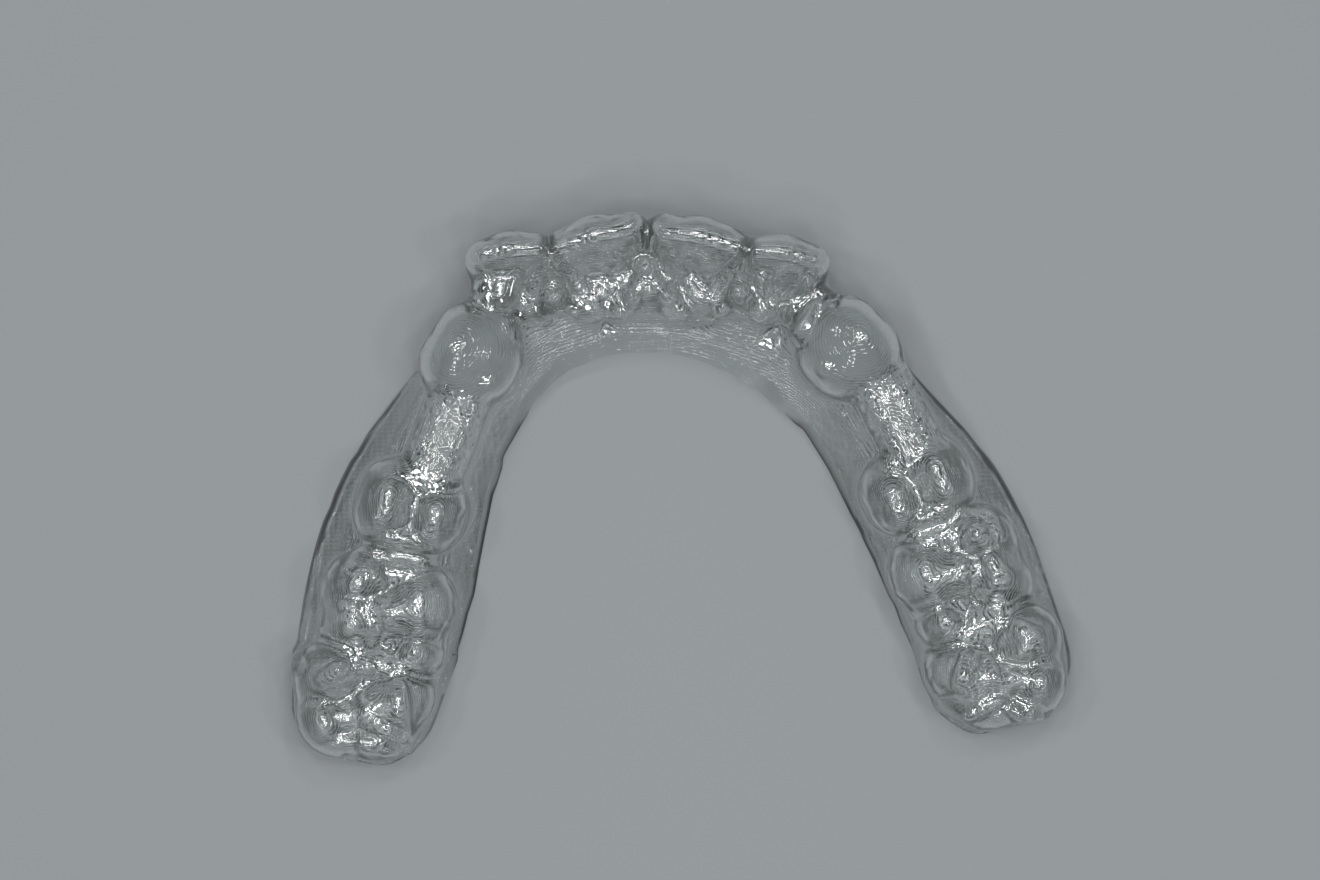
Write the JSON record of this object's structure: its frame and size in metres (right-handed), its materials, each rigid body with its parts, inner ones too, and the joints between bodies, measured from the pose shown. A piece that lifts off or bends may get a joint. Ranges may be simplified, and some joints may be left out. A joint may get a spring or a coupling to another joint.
{
  "type": "clear dental aligner",
  "caption": "Clear horseshoe-shaped shell of thin plastic that clips over the upper teeth, with moulded tooth sockets, straight bridging bars and a trimmed gum edge.",
  "frame": {"origin": "middle of the footprint, on the plane the trimmed edge rests on", "axes": "+X across the arch to the wearer's left, +Y towards the front teeth, +Z from the trimmed edge to the biting side"},
  "size_m": [0.0648, 0.0444, 0.0108],
  "materials": {
    "clear_plastic": "clear, glossy, with faint stepped lines from the printed cast"
  },
  "bodies": {
    "root": {"aligner": "clear_plastic"}
  },
  "joints": []
}
